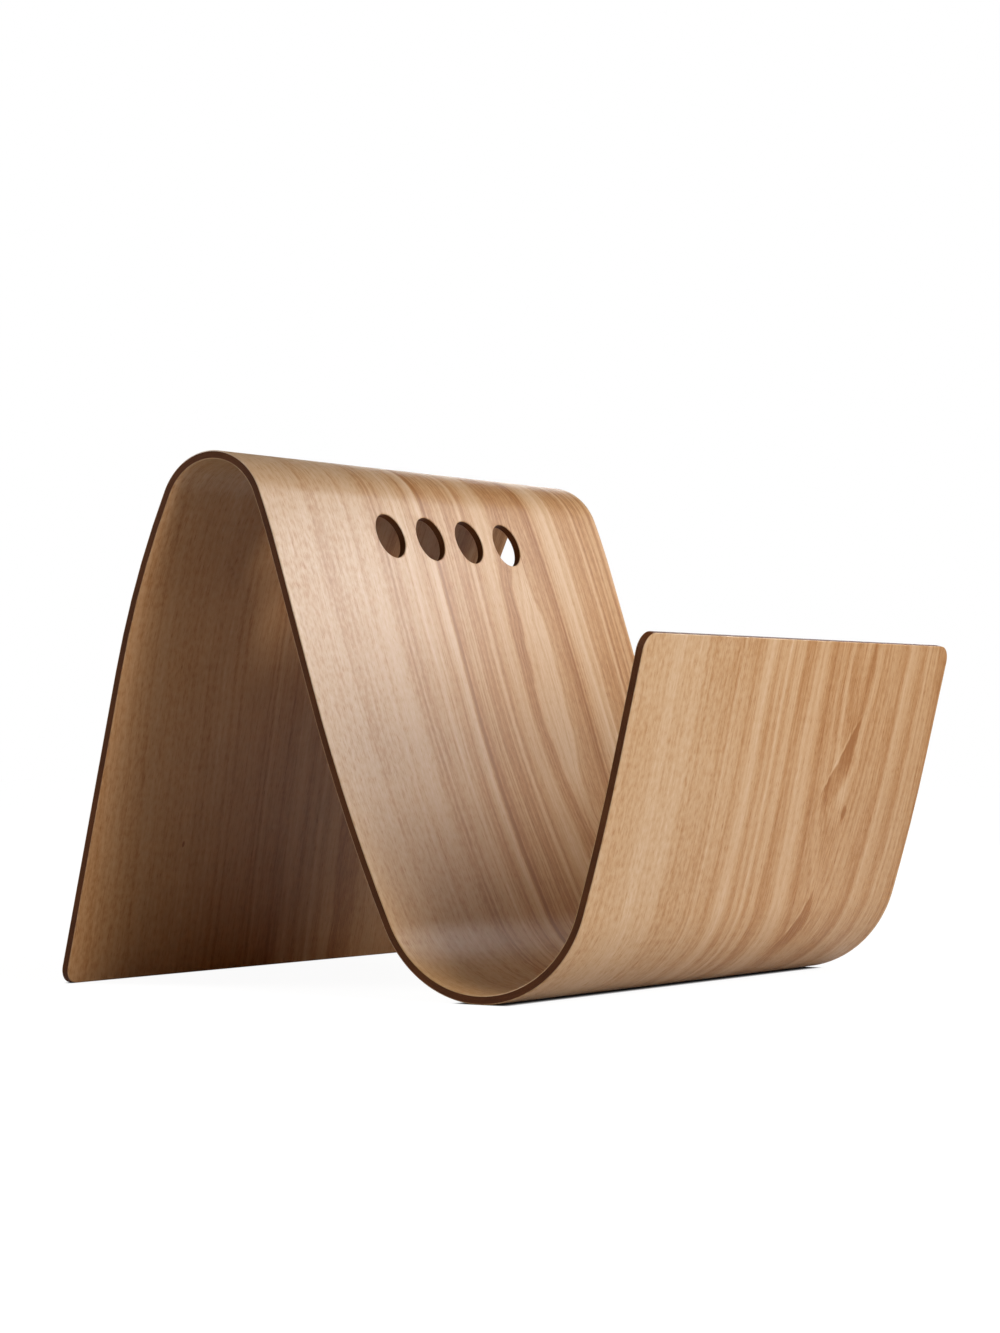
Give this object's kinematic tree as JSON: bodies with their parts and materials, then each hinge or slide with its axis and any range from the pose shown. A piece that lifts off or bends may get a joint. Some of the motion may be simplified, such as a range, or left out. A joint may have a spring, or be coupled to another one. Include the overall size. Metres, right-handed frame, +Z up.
{
  "type": "magazine rack",
  "caption": "Wave-shaped magazine rack of one bent plywood sheet: a back leg, a rounded arch with a row of finger holes, and a deep scoop with a front panel that holds magazines.",
  "frame": {"origin": "on the floor, under the middle of the rack's outline", "axes": "+Z up; X across the width, along the bends; -Y towards the pocket and its front panel, +Y towards the foot of the back leg"},
  "size_m": [0.32, 0.3642, 0.2772],
  "materials": {
    "face_veneer": "open-grained brown face veneer, straight grain along the bend, satin lacquer",
    "core_long": "core veneer, grain along the bend, its edge sanded, stained dark and lacquered",
    "core_cross": "core veneer, grain across the bend, its edge sanded, stained dark and lacquered"
  },
  "bodies": {
    "root": {"underside_face_veneer": "face_veneer", "core_ply_1_long": "core_long", "core_ply_2_cross": "core_cross", "core_ply_3_long": "core_long", "core_ply_4_cross": "core_cross", "core_ply_5_long": "core_long", "pocket_face_veneer": "face_veneer"}
  },
  "joints": []
}
